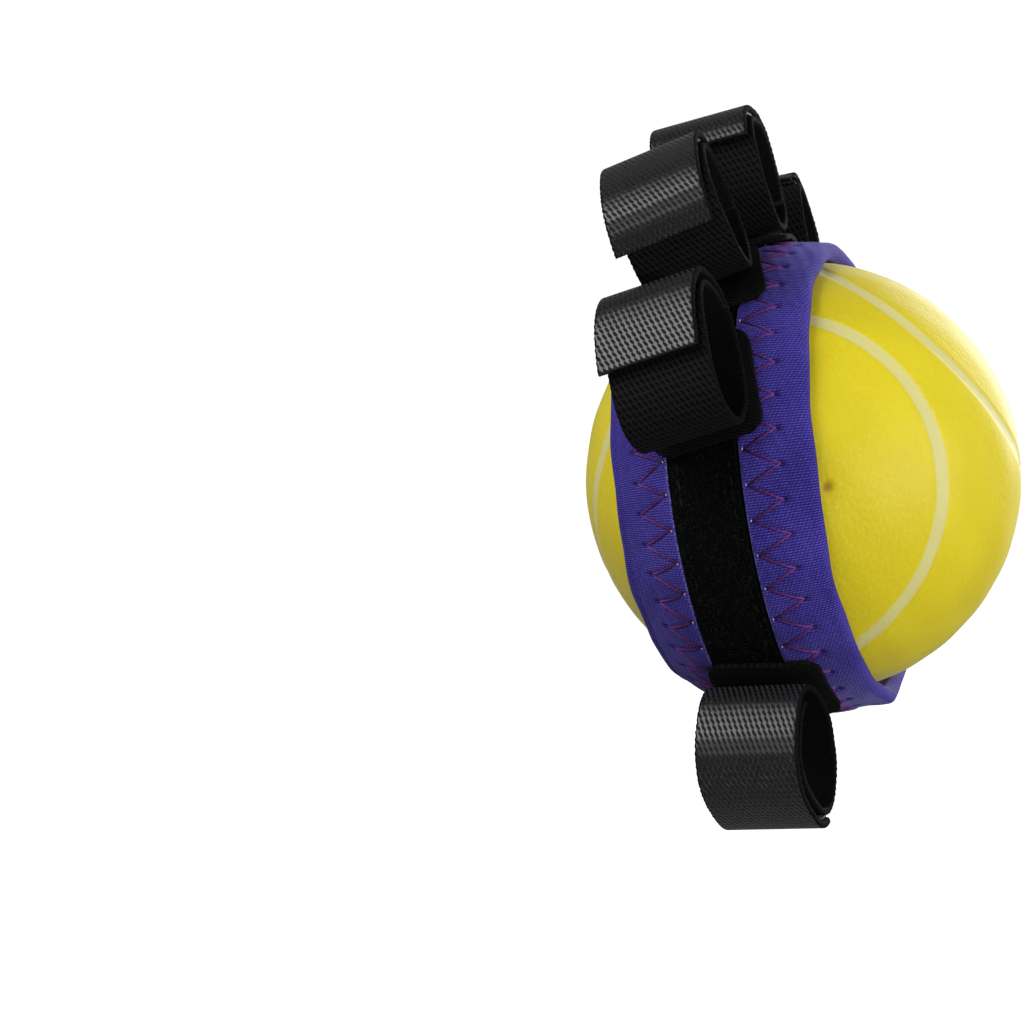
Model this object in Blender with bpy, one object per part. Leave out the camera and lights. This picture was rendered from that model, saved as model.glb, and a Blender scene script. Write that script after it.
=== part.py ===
"""Hand-exercise grip ball: a foam ball in a neoprene band, with five hook-and-loop finger loops.

The origin is the ball's centre. +X is the band's axis, from the palm side to the fingertip side,
-Y is the side that the index finger curls over, and +Z is up.
An angle round the band is 0 toward -Y and 90 degrees toward +Z.
"""

import math

import bmesh
import bpy
from mathutils import Vector

MM = 0.001
GAP = 0.3 * MM

# Foam ball
BALL_RADIUS = 35.0 * MM
BALL_SEGMENTS = 40
BALL_RINGS = 20

# Neoprene band: its edges along the ball's X axis, the wall under the strip and the folded hems
BAND_PALM_EDGE = -22.9 * MM
BAND_FINGER_EDGE = 10.6 * MM
BAND_STEPS = 56
HEM_THICKNESS = 3.2 * MM
STRIP_CROWN = 0.9 * MM
CROWN_CENTRE = -13.0 * MM
CROWN_WIDTH = 6.0 * MM
HEM_POINTS = 4
FOLD_POINTS = 5
INNER_POINTS = 8

# Pile strip in the channel between the two hems
STRIP_PALM_EDGE = -12.0 * MM
STRIP_FINGER_EDGE = -0.4 * MM
STRIP_THICKNESS = 1.2 * MM
GROOVE_INSET = 1.3 * MM
GROOVE_WIDTH = 0.9 * MM
GROOVE_DEPTH = 0.6 * MM

# Sewing threads
THREAD_RADIUS = 0.2 * MM
ZIGZAG_COUNT = 44
ZIGZAG_INSET = 1.0 * MM
ZIGZAG_WIDTH = 5.0 * MM
JOIN_ANGLE = 208.0
JOIN_STEPS = 6
JOIN_WIDTH = 4.0 * MM

# Finger loops: a base tab, a strap wound round the finger and a pull tail that peels open
TAB_WIDTH = 18.0 * MM
TAB_LENGTH = 17.0 * MM
TAB_THICKNESS = 0.9 * MM
TAB_LIFT = 0.75 * MM
STRAP_WIDTH = 16.0 * MM
STRAP_THICKNESS = 1.0 * MM
HOOK_THICKNESS = 0.5 * MM
LAYER_GAP = 0.2 * MM
LAYER_PITCH = STRAP_THICKNESS + HOOK_THICKNESS + 2 * LAYER_GAP
STRAP_STEP = 10.0
INNER_END = 305.0
HINGE_ANGLE = -128.0
HOOK_START = 14.0
BASE_ROUNDNESS = 2.5
TOP_ROUNDNESS = 2.6
BOX_STITCH_LENGTH = 11.0 * MM
BOX_STITCH_WIDTH = 6.0 * MM

# name, angle round the band, place along X, tilt out of the strip, turn on the strip,
# height, width, how far past the top its tail ends, and how far its tail strays along the loop's axis
FINGERS = (
    ("thumb", -58.0, -4.0 * MM, 4.0, 0.0, 19.5 * MM, 25.4 * MM, 55.0, -0.5 * MM),
    ("index", 22.8, -5.8 * MM, 5.0, 8.0, 18.2 * MM, 26.4 * MM, 6.0, -0.9 * MM),
    ("middle", 56.6, -6.2 * MM, 8.0, 13.0, 21.4 * MM, 24.4 * MM, 77.0, -1.5 * MM),
    ("ring", 89.5, -5.6 * MM, 6.5, 6.0, 20.8 * MM, 24.6 * MM, 68.0, -0.8 * MM),
    ("little", 121.5, -5.8 * MM, 6.0, 4.0, 17.6 * MM, 22.4 * MM, 40.0, -0.6 * MM),
)

FOAM_YELLOW = (0.70, 0.57, 0.03)
NEOPRENE_PURPLE = (0.045, 0.032, 0.22)
THREAD_MAGENTA = (0.22, 0.03, 0.25)
PILE_BLACK = (0.008, 0.009, 0.009)
WEBBING_BLACK = (0.012, 0.012, 0.014)
HOOK_BLACK = (0.02, 0.02, 0.022)
THREAD_BLACK = (0.015, 0.015, 0.016)


def clear_scene():
    for old in list(bpy.data.objects):
        bpy.data.objects.remove(old, do_unlink=True)


def make_material(name, colour, roughness):
    material = bpy.data.materials.new(name)
    material.use_nodes = True
    shader = material.node_tree.nodes["Principled BSDF"]
    shader.inputs["Base Color"].default_value = (*colour, 1.0)
    shader.inputs["Roughness"].default_value = roughness
    shader.inputs["Metallic"].default_value = 0.0
    return material


def add_object(name, data, material, parent=None):
    data.materials.append(material)
    thing = bpy.data.objects.new(name, data)
    bpy.context.scene.collection.objects.link(thing)
    if parent is not None:
        thing.parent = parent
        thing.matrix_parent_inverse = parent.matrix_world.inverted()
    return thing


def add_mesh(name, bm, material, parent=None):
    bmesh.ops.recalc_face_normals(bm, faces=bm.faces)
    mesh = bpy.data.meshes.new(name)
    bm.to_mesh(mesh)
    bm.free()
    mesh.shade_smooth()
    mesh.set_sharp_from_angle(angle=math.radians(35))
    return add_object(name, mesh, material, parent)


def add_pivot(name, place, parent=None):
    """An empty on a joint's axis."""
    pivot = bpy.data.objects.new(name, None)
    pivot.empty_display_size = 5 * MM
    bpy.context.scene.collection.objects.link(pivot)
    pivot.location = place
    pivot.parent = parent
    if parent is not None:
        pivot.matrix_parent_inverse = parent.matrix_world.inverted()
    bpy.context.view_layer.update()
    return pivot


def add_thread(name, points, material, parent=None):
    """A closed round of sewing thread through the points."""
    curve = bpy.data.curves.new(name, "CURVE")
    curve.dimensions = "3D"
    curve.bevel_depth = THREAD_RADIUS
    curve.bevel_resolution = 0
    spline = curve.splines.new("POLY")
    spline.points.add(len(points) - 1)
    for knot, point in zip(spline.points, points):
        knot.co = (*point, 1.0)
    spline.use_cyclic_u = True
    return add_object(name, curve, material, parent)


def on_band(x, angle, radius):
    """The point at this place along X, angle round the band in degrees and distance from the X axis."""
    turn = math.radians(angle)
    return Vector((x, -radius * math.cos(turn), radius * math.sin(turn)))


def ball_at(x):
    return math.sqrt(BALL_RADIUS**2 - x**2)


def hem_at(x):
    """Radius of the hems' outer face. The strip bridges the curve, so its palm side stands a little proud."""
    crown = STRIP_CROWN * math.exp(-(((x - CROWN_CENTRE) / CROWN_WIDTH) ** 2))
    return ball_at(x) + HEM_THICKNESS + crown


def outer_at(x):
    """Radius of the outer face of the hems, and of the strip between them, which is straight across."""
    if not STRIP_PALM_EDGE < x < STRIP_FINGER_EDGE:
        return hem_at(x)
    share = (x - STRIP_PALM_EDGE) / (STRIP_FINGER_EDGE - STRIP_PALM_EDGE)
    return hem_at(STRIP_PALM_EDGE) * (1 - share) + hem_at(STRIP_FINGER_EDGE) * share


def steps(first, last, count):
    return [first + (last - first) * i / (count - 1) for i in range(count)]


def fold(edge, side):
    """The rounded fold at one edge of the band, from the ball's side to the outside."""
    half = (HEM_THICKNESS - GAP) / 2
    x = edge - side * half
    middle = ball_at(x) + GAP + half
    turns = steps(-90, 90, FOLD_POINTS + 2)[1:-1]
    return [
        (x + side * half * math.cos(math.radians(a)), middle + half * math.sin(math.radians(a)))
        for a in turns
    ]


def band_profile():
    half = (HEM_THICKNESS - GAP) / 2
    palm, finger = BAND_PALM_EDGE + half, BAND_FINGER_EDGE - half
    channel = STRIP_THICKNESS + GAP
    inner = [(x, ball_at(x) + GAP) for x in steps(palm, finger, INNER_POINTS)]
    hem_finger = [(x, hem_at(x)) for x in steps(finger, STRIP_FINGER_EDGE, HEM_POINTS)]
    hem_palm = [(x, hem_at(x)) for x in steps(STRIP_PALM_EDGE, palm, HEM_POINTS)]
    floor = [(x, outer_at(x) - channel) for x in (STRIP_FINGER_EDGE, STRIP_PALM_EDGE)]
    palm_fold = fold(BAND_PALM_EDGE, -1)
    palm_fold.reverse()
    return inner + fold(BAND_FINGER_EDGE, 1) + hem_finger + floor + hem_palm + palm_fold


def strip_profile():
    palm, finger = STRIP_PALM_EDGE + GAP, STRIP_FINGER_EDGE - GAP
    half = GROOVE_WIDTH / 2
    outline = [(palm, 0.0)]
    for middle in (palm + GROOVE_INSET, finger - GROOVE_INSET):
        outline += [(middle - half, 0.0), (middle, -GROOVE_DEPTH), (middle + half, 0.0)]
    outline += [(finger, 0.0), (finger, -STRIP_THICKNESS), (palm, -STRIP_THICKNESS)]
    return [(x, outer_at(x) + lift) for x, lift in outline]


def add_turned(name, profile, material, parent=None):
    """A closed ring: the (x, radius) profile turned round the X axis."""
    bm = bmesh.new()
    ring = [bm.verts.new((x, -radius, 0.0)) for x, radius in profile]
    edges = [bm.edges.new((a, b)) for a, b in zip(ring, ring[1:] + ring[:1])]
    bmesh.ops.spin(
        bm,
        geom=ring + edges,
        axis=(1.0, 0.0, 0.0),
        cent=(0.0, 0.0, 0.0),
        angle=2 * math.pi,
        steps=BAND_STEPS,
        use_merge=True,
    )
    bmesh.ops.remove_doubles(bm, verts=bm.verts, dist=0.001 * MM)
    return add_mesh(name, bm, material, parent)


def add_ball(material):
    bm = bmesh.new()
    bmesh.ops.create_uvsphere(
        bm, u_segments=BALL_SEGMENTS, v_segments=BALL_RINGS, radius=BALL_RADIUS
    )
    return add_mesh("foam_ball", bm, material)


def zigzag_points(edge, side):
    """Zigzag sewing beside one edge of the strip, closed round the band."""
    near = edge + side * ZIGZAG_INSET
    far = near + side * ZIGZAG_WIDTH
    points = []
    for i in range(ZIGZAG_COUNT):
        start = 360.0 * i / ZIGZAG_COUNT
        for share, x in ((0.0, near), (0.25, (near + far) / 2), (0.5, far), (0.75, (near + far) / 2)):
            angle = start + 360.0 * share / ZIGZAG_COUNT
            points.append(on_band(x, angle, hem_at(x) + THREAD_RADIUS * 1.2))
    return points


def strip_stitch_points(edge, side):
    """A straight row of sewing that lies in a groove of the strip."""
    x = edge + side * (GAP + GROOVE_INSET)
    radius = outer_at(x) - GROOVE_DEPTH / 2 + THREAD_RADIUS / 2
    return [on_band(x, angle, radius) for angle in range(0, 360, 9)]


def join_points():
    """The two rows of sewing, joined at their ends, that close the band into a ring at the palm hem."""
    first = STRIP_PALM_EDGE - ZIGZAG_INSET - ZIGZAG_WIDTH - 0.8 * MM
    last = BAND_PALM_EDGE + 2.4 * MM
    half_turn = math.degrees(JOIN_WIDTH / 2 / BALL_RADIUS)
    row = steps(first, last, JOIN_STEPS)
    path = [(x, JOIN_ANGLE - half_turn) for x in row]
    path += [(x, JOIN_ANGLE + half_turn) for x in reversed(row)]
    return [on_band(x, angle, hem_at(x) + THREAD_RADIUS * 1.2) for x, angle in path]


class Loop:
    """Where one finger loop stands, and the path of its strap."""

    def __init__(self, name, angle, x, tilt, turn, height, width, tail, stray):
        self.name = name
        self.angle, self.x, self.turn = angle, x, math.radians(turn)
        self.height, self.width, self.tail, self.stray = height, width, tail, stray
        out = on_band(0.0, angle, 1.0)
        round_band = on_band(0.0, angle + 90.0, 1.0)
        lean = math.radians(tilt)
        along = Vector((math.cos(lean), 0.0, 0.0)) + math.sin(lean) * out
        self.out = math.cos(lean) * out - Vector((math.sin(lean), 0.0, 0.0))
        self.along = math.cos(self.turn) * along + math.sin(self.turn) * round_band
        self.round = math.cos(self.turn) * round_band - math.sin(self.turn) * along
        self.base = on_band(x, angle, outer_at(x) + TAB_LIFT + TAB_THICKNESS)
        self.base += self.out * self.clearance()

    def tab_point(self, u, v, lift):
        """A point on the tab: u along the loop's axis, v round the band."""
        x = self.x + u * math.cos(self.turn) - v * math.sin(self.turn)
        around = v * math.cos(self.turn) + u * math.sin(self.turn)
        angle = self.angle + math.degrees(around / outer_at(self.x))
        return on_band(x, angle, outer_at(x) + lift)

    def oval(self, turn, inset):
        """(round, out) of a point of the loop's oval: 0 degrees at the base, 180 at the top."""
        side, rise = -math.sin(math.radians(turn)), -math.cos(math.radians(turn))
        power = 2 / (BASE_ROUNDNESS if rise < 0 else TOP_ROUNDNESS)
        round_band = math.copysign(abs(side) ** power, side) * (self.width / 2 - inset)
        out = math.copysign(abs(rise) ** power, rise) * (self.height / 2 - inset)
        return round_band, out + self.height / 2

    def inset_at(self, turn):
        """How far the strap's outer face lies inside the oval: the first layer lies inside the second."""
        if turn >= 0:
            share = min(1.0, turn / 50.0)
            return LAYER_PITCH * share * share * (3 - 2 * share)
        return 0.0

    def drift(self, turn):
        """How far the tape has strayed along the loop's axis: the tail lies a little askew."""
        return self.stray * max(0.0, (HINGE_ANGLE - turn) / (HINGE_ANGLE + 180.0 + self.tail))

    def place(self, turn, depth, across):
        round_band, out = self.oval(turn, self.inset_at(turn) + depth)
        sideways = self.along * (across + self.drift(turn))
        return self.base + self.round * round_band + self.out * out + sideways

    def clearance(self):
        """How far the strap is raised so that its base clears the tab."""
        top = on_band(self.x, self.angle, outer_at(self.x) + TAB_LIFT + TAB_THICKNESS)
        least = 0.0
        for turn in range(-40, 41, 10):
            for across in (-STRAP_WIDTH / 2, 0.0, STRAP_WIDTH / 2):
                round_band, out = self.oval(turn, self.inset_at(turn))
                point = top + self.round * round_band + self.out * out + self.along * across
                height = math.hypot(point.y, point.z) - outer_at(point.x)
                least = min(least, height - TAB_LIFT - TAB_THICKNESS)
        return GAP * 0.7 - least

    def hinge(self):
        """The middle of the pull tail's hinge line, on the strap's outer face."""
        return self.place(HINGE_ANGLE, 0.0, 0.0)


def add_tape(name, loop, turns, outer, inner, width, material, parent):
    """A flat tape along the loop's path, from outer to inner below the strap's outer face."""
    bm = bmesh.new()
    half = width / 2
    rows = []
    for turn in turns:
        corners = ((outer, -half), (outer, half), (inner, half), (inner, -half))
        rows.append([bm.verts.new(loop.place(turn, depth, across)) for depth, across in corners])
    for row, following in zip(rows, rows[1:]):
        for i in range(4):
            j = (i + 1) % 4
            bm.faces.new((row[i], row[j], following[j], following[i]))
    bm.faces.new(rows[0])
    bm.faces.new(rows[-1])
    return add_mesh(name, bm, material, parent)


def add_tab(loop, material, parent):
    """The base tab: hook tape that follows the strip and the hems beside it."""
    bm = bmesh.new()
    columns = steps(-TAB_WIDTH / 2, TAB_WIDTH / 2, 7)
    rows = steps(-TAB_LENGTH / 2, TAB_LENGTH / 2, 6)
    sides = []
    for lift in (TAB_LIFT, TAB_LIFT + TAB_THICKNESS):
        grid = [[bm.verts.new(loop.tab_point(u, v, lift)) for u in columns] for v in rows]
        for low, high in zip(grid, grid[1:]):
            for a, b, c, d in zip(low, low[1:], high[1:], high):
                bm.faces.new((a, b, c, d))
        rim = grid[0] + [row[-1] for row in grid[1:-1]]
        rim += grid[-1][::-1] + [row[0] for row in grid[-2:0:-1]]
        sides.append(rim)
    under, over = sides
    for i, corner in enumerate(under):
        j = (i + 1) % len(under)
        bm.faces.new((corner, under[j], over[j], over[i]))
    return add_mesh(f"{loop.name}_hook_tab", bm, material, parent)


def box_stitch_points(loop):
    """A box of stitches that sews the strap's base to its tab, lying on the strap inside the loop."""
    half_length, half_width = BOX_STITCH_WIDTH / 2, BOX_STITCH_LENGTH / 2
    corners = (
        (-half_width, -half_length),
        (half_width, -half_length),
        (half_width, half_length),
        (-half_width, half_length),
    )
    points = []
    for (u0, v0), (u1, v1) in zip(corners, corners[1:] + corners[:1]):
        for share in (0.0, 0.25, 0.5, 0.75):
            across = u0 + (u1 - u0) * share
            side = v0 + (v1 - v0) * share
            turn = turn_for(loop, side)
            points.append(loop.place(turn, STRAP_THICKNESS + THREAD_RADIUS * 1.5, across))
    return points


def turn_for(loop, side):
    """The turn round the oval at which the strap's base lies this far to the side."""
    half = loop.width / 2 - STRAP_THICKNESS
    share = min(1.0, abs(side) / half) ** (BASE_ROUNDNESS / 2)
    return -math.copysign(math.degrees(math.asin(share)), side)


def turns_between(first, last):
    count = max(2, round(abs(last - first) / STRAP_STEP) + 1)
    return steps(first, last, count)


def add_loop(loop, materials, band_pivot):
    webbing, hooks, thread = materials
    pivot = add_pivot(f"{loop.name}_loop_axis", (0.0, 0.0, 0.0), band_pivot)
    tail_pivot = add_pivot(f"{loop.name}_tail_hinge", loop.hinge(), pivot)
    tail_gap = math.degrees(GAP / (loop.height / 2))
    tail_end = -180.0 - loop.tail
    strap_turns = turns_between(INNER_END, HINGE_ANGLE + tail_gap / 2)
    tail_turns = turns_between(HINGE_ANGLE - tail_gap / 2, tail_end)
    hook_turns = turns_between(HINGE_ANGLE - HOOK_START, tail_end + 2.0)
    add_tab(loop, hooks, pivot)
    add_tape(
        f"{loop.name}_strap", loop, strap_turns, 0.0, STRAP_THICKNESS, STRAP_WIDTH, webbing, pivot
    )
    add_thread(f"{loop.name}_box_stitch", box_stitch_points(loop), thread, pivot)
    add_tape(
        f"{loop.name}_pull_tail", loop, tail_turns, 0.0, STRAP_THICKNESS, STRAP_WIDTH, webbing,
        tail_pivot,
    )
    hook_top = STRAP_THICKNESS + LAYER_GAP
    add_tape(
        f"{loop.name}_tail_hooks", loop, hook_turns, hook_top, hook_top + HOOK_THICKNESS,
        STRAP_WIDTH - 1.0 * MM, hooks, tail_pivot,
    )


def main():
    clear_scene()
    foam = make_material("foam_yellow", FOAM_YELLOW, 0.55)
    neoprene = make_material("neoprene_purple", NEOPRENE_PURPLE, 0.85)
    magenta = make_material("thread_magenta", THREAD_MAGENTA, 0.6)
    pile = make_material("pile_black", PILE_BLACK, 0.95)
    webbing = make_material("webbing_black", WEBBING_BLACK, 0.45)
    hooks = make_material("hook_black", HOOK_BLACK, 0.6)
    black_thread = make_material("thread_black", THREAD_BLACK, 0.6)

    add_ball(foam)
    band_pivot = add_pivot("band_axis", (0.0, 0.0, 0.0))
    add_turned("neoprene_band", band_profile(), neoprene, band_pivot)
    add_turned("pile_strip", strip_profile(), pile, band_pivot)
    for label, edge, side in (("palm", STRIP_PALM_EDGE, -1), ("finger", STRIP_FINGER_EDGE, 1)):
        add_thread(f"zigzag_thread_{label}_side", zigzag_points(edge, side), magenta, band_pivot)
        add_thread(
            f"strip_stitch_{label}_side", strip_stitch_points(edge, -side), black_thread, band_pivot
        )
    add_thread("band_join_stitch", join_points(), magenta, band_pivot)
    for finger in FINGERS:
        add_loop(Loop(*finger), (webbing, hooks, black_thread), band_pivot)


main()
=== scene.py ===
"""Looks of the hand-exercise grip ball: a foam ball, a sewn neoprene band and five finger loops.

Lengths are in metres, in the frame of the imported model: the origin is the ball's centre, +X the band's
axis from the palm side to the fingertip side, and an angle round the band is 0 toward -Y and 90 toward +Z.
"""

import math

import bpy
import numpy as np
from mathutils import Matrix, Vector


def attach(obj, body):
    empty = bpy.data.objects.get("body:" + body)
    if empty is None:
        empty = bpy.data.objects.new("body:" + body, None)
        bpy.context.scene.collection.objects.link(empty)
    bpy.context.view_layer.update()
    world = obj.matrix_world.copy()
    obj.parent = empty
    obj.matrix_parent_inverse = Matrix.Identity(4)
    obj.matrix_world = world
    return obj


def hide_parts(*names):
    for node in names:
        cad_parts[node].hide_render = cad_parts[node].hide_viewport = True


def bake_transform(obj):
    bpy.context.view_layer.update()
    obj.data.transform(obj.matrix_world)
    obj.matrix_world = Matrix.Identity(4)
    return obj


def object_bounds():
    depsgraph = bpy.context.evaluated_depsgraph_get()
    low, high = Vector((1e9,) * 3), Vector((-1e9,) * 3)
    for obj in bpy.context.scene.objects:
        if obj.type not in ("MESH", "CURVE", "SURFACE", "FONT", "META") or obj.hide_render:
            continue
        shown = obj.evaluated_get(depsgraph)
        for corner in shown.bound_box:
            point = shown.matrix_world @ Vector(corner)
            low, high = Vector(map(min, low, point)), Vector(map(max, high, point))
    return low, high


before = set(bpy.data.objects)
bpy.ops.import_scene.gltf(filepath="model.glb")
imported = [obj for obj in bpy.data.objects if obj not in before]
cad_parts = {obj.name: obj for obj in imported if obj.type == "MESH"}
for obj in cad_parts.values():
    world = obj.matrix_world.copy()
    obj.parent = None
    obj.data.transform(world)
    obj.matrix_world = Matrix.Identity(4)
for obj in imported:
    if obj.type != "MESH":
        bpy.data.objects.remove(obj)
cad_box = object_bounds()

MM = 0.001
RANDOM = np.random.default_rng(7)

# The ball and the band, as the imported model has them
BALL_RADIUS = 35.0 * MM
BAND_PALM_EDGE = -22.9 * MM
BAND_FINGER_EDGE = 10.6 * MM
HEM_THICKNESS = 3.2 * MM
STRIP_CROWN = 0.9 * MM
CROWN_CENTRE = -13.0 * MM
CROWN_WIDTH = 6.0 * MM
STRIP_PALM_EDGE = -12.0 * MM
STRIP_FINGER_EDGE = -0.4 * MM
STRIP_THICKNESS = 1.2 * MM
JOIN_ANGLE = 208.0
JOIN_WIDTH = 4.0 * MM

# The knit face of the band: its ribs round the ball, and their pitch in millimetres
BAND_RIBS = 572
RIB_PITCH = 0.42

# The ball's moulded seam and gate mark
SEAM_SWAY = 0.80
SEAM_RISE = 1.45
SEAM_TURNS = ((39.3, "Z"), (13.6, "Y"), (55.2, "X"))
SEAM_WIDTH = 2.4 * MM
SEAM_DEPTH = 0.22 * MM
GATE_PLACE = (11.3 * MM, -33.05 * MM, -1.7 * MM)
GATE_RADIUS = 0.75 * MM
GATE_DEPTH = 0.35 * MM

# Zigzag sewing
ZIGZAG_COUNT = 44
ZIGZAG_INSET = 0.9 * MM
ZIGZAG_WIDTH = 5.0 * MM
ZIGZAG_WOBBLE = 0.2 * MM
THREAD_RADIUS = 0.17 * MM
NEEDLE_HOLE_DEPTH = 0.42 * MM

# The finger loops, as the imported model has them
TAB_WIDTH = 18.0 * MM
TAB_LENGTH = 17.0 * MM
TAB_THICKNESS = 0.9 * MM
TAB_LIFT = 0.75 * MM
TAB_CORNER = 3.0 * MM
STRAP_WIDTH = 16.0 * MM
STRAP_THICKNESS = 1.0 * MM
HOOK_THICKNESS = 0.5 * MM
LAYER_GAP = 0.2 * MM
LAYER_PITCH = STRAP_THICKNESS + HOOK_THICKNESS + 2 * LAYER_GAP
INNER_END = 305.0
HINGE_ANGLE = -128.0
HOOK_START = 14.0
BASE_ROUNDNESS = 2.5
TOP_ROUNDNESS = 2.6

# name, angle round the band, place along X, tilt out of the strip, turn on the strip,
# height, width, how far past the top its tail ends, and how far its tail strays along the loop's axis
FINGERS = (
    ("thumb", -58.0, -4.0 * MM, 4.0, 0.0, 19.5 * MM, 25.4 * MM, 55.0, -0.5 * MM),
    ("index", 22.8, -5.8 * MM, 5.0, 8.0, 18.2 * MM, 26.4 * MM, 6.0, -0.9 * MM),
    ("middle", 56.6, -6.2 * MM, 8.0, 13.0, 21.4 * MM, 24.4 * MM, 77.0, -1.5 * MM),
    ("ring", 89.5, -5.6 * MM, 6.5, 6.0, 20.8 * MM, 24.6 * MM, 68.0, -0.8 * MM),
    ("little", 121.5, -5.8 * MM, 6.0, 4.0, 17.6 * MM, 22.4 * MM, 40.0, -0.6 * MM),
)

# Knitted tape: the pitch of its slots across and along, their lean in degrees, and their size in millimetres
KNIT_ACROSS = 0.84 * MM
KNIT_ALONG = 1.05 * MM
KNIT_LEAN = 35.0
SLOT_HALF_LENGTH = 0.5
SLOT_HALF_WIDTH = 0.2

# The camera looks at the ball from its index-finger side, a little toward the fingertips
VIEW_AZIMUTH = 19.07
VIEW_ROLL = 7.37
VIEW_DISTANCE = 450.0 * MM
BALL_RIGHT = 6.0
BALL_UP = 0.7
LENS = 97.0
SENSOR = 36.0

# name, (right, up, toward the camera), distance, width and height in metres, watts
SOFTBOXES = (
    ("key_softbox", (-0.68, 0.62, 0.34), 0.75, (0.60, 0.50), 3.9),
    ("side_softbox", (-0.42, 0.30, 0.87), 0.75, (0.18, 0.30), 0.6),
    ("back_softbox", (0.55, 0.30, -0.78), 1.0, (0.50, 0.50), 6.0),
    ("front_softbox", (0.75, 0.02, 0.66), 0.9, (0.70, 0.10), 9.8),
)

# The floor and the white surround
FLOOR_DROP = 26.0 * MM
FLOOR_SIZE = 6.0
FLOOR_GREY = 0.27
FLOOR_GLOW = 0.98
FRONT_LIGHT = 0.06
BACK_LIGHT = 0.26
BACKDROP = 1.05


# ---------------------------------------------------------------- geometry of the object


def on_band(x, angle, radius):
    """Points at this place along X, angle round the band in degrees and distance from the X axis."""
    turn = np.radians(angle)
    x, turn, radius = np.broadcast_arrays(x, turn, radius)
    return np.stack([x, -radius * np.cos(turn), radius * np.sin(turn)], axis=-1)


def ball_at(x):
    return np.sqrt(BALL_RADIUS**2 - np.square(x))


def hem_at(x):
    """Radius of the hems' outer face."""
    return ball_at(x) + HEM_THICKNESS + STRIP_CROWN * hump(x - CROWN_CENTRE, CROWN_WIDTH)


def outer_at(x):
    """Radius of the outer face of the hems, and of the strip between them, which is straight across."""
    share = np.clip((x - STRIP_PALM_EDGE) / (STRIP_FINGER_EDGE - STRIP_PALM_EDGE), 0.0, 1.0)
    bridged = hem_at(STRIP_PALM_EDGE) * (1 - share) + hem_at(STRIP_FINGER_EDGE) * share
    return np.where((share > 0.0) & (share < 1.0), bridged, hem_at(x))


def hump(away, reach):
    """1 where away is 0, and almost 0 at twice the reach."""
    return np.exp(-np.square(away / reach))


def smooth_step(value):
    value = np.clip(value, 0.0, 1.0)
    return value * value * (3 - 2 * value)


def unit(vectors):
    return vectors / np.linalg.norm(vectors, axis=-1, keepdims=True)


class Loop:
    """Where one finger loop stands, and the path of its strap."""

    def __init__(self, name, angle, x, tilt, turn, height, width, tail, stray):
        self.name = name
        self.angle, self.x, self.turn = angle, x, math.radians(turn)
        self.height, self.width, self.tail, self.stray = height, width, tail, stray
        out = on_band(0.0, angle, 1.0)
        round_band = on_band(0.0, angle + 90.0, 1.0)
        lean = math.radians(tilt)
        along = np.array((math.cos(lean), 0.0, 0.0)) + math.sin(lean) * out
        self.out = math.cos(lean) * out - np.array((math.sin(lean), 0.0, 0.0))
        self.along = math.cos(self.turn) * along + math.sin(self.turn) * round_band
        self.round = math.cos(self.turn) * round_band - math.sin(self.turn) * along
        self.base = on_band(x, angle, outer_at(x) + TAB_LIFT + TAB_THICKNESS)
        self.base = self.base + self.out * self.clearance()

    def tab_points(self, u, v, lift):
        """Points on the tab: u along the loop's axis, v round the band."""
        x = self.x + u * math.cos(self.turn) - v * math.sin(self.turn)
        around = v * math.cos(self.turn) + u * math.sin(self.turn)
        return on_band(x, self.angle + np.degrees(around / outer_at(self.x)), outer_at(x) + lift)

    def oval(self, turn, inset):
        """(round, out) of points of the loop's oval: 0 degrees at the base, 180 at the top."""
        side, rise = -np.sin(np.radians(turn)), -np.cos(np.radians(turn))
        power = np.where(rise < 0, 2 / BASE_ROUNDNESS, 2 / TOP_ROUNDNESS)
        round_band = np.copysign(np.abs(side) ** power, side) * (self.width / 2 - inset)
        out = np.copysign(np.abs(rise) ** power, rise) * (self.height / 2 - inset)
        return round_band, out + self.height / 2

    def inset_at(self, turn):
        """How far the strap's outer face lies inside the oval: the first layer lies inside the second."""
        return LAYER_PITCH * smooth_step(np.asarray(turn) / 50.0)

    def drift(self, turn):
        """How far the tape has strayed along the loop's axis: the tail lies a little askew."""
        return self.stray * np.maximum(0.0, (HINGE_ANGLE - turn) / (HINGE_ANGLE + 180.0 + self.tail))

    def place(self, turn, depth, across):
        round_band, out = self.oval(turn, self.inset_at(turn) + depth)
        sideways = across + self.drift(turn)
        parts = np.broadcast_arrays(round_band, out, sideways)
        return self.base + sum(
            part[..., None] * axis for part, axis in zip(parts, (self.round, self.out, self.along))
        )

    def clearance(self):
        """How far the strap is raised so that its base clears the tab."""
        turn = np.arange(-40, 41, 10)[:, None]
        across = np.array((-STRAP_WIDTH / 2, 0.0, STRAP_WIDTH / 2))[None, :]
        round_band, out = self.oval(turn, self.inset_at(turn))
        top = on_band(self.x, self.angle, outer_at(self.x) + TAB_LIFT + TAB_THICKNESS)
        point = top + round_band[..., None] * self.round + out[..., None] * self.out
        point = point + across[..., None] * self.along
        height = np.hypot(point[..., 1], point[..., 2]) - outer_at(point[..., 0])
        return 0.7 * 0.3 * MM - min(0.0, (height - TAB_LIFT - TAB_THICKNESS).min())

    def even_turns(self, first, last, step):
        """Turns from first to last whose points lie evenly spaced, and the length to each."""
        fine = np.linspace(first, last, 2000)
        points = self.place(fine, STRAP_THICKNESS / 2, 0.0)
        lengths = np.r_[0.0, np.cumsum(np.linalg.norm(np.diff(points, axis=0), axis=1))]
        marks = np.linspace(0.0, lengths[-1], max(3, round(lengths[-1] / step) + 1))
        return np.interp(marks, lengths, fine), marks

    def hinge(self):
        return self.place(HINGE_ANGLE, 0.0, 0.0)


# ---------------------------------------------------------------- mesh tools


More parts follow.
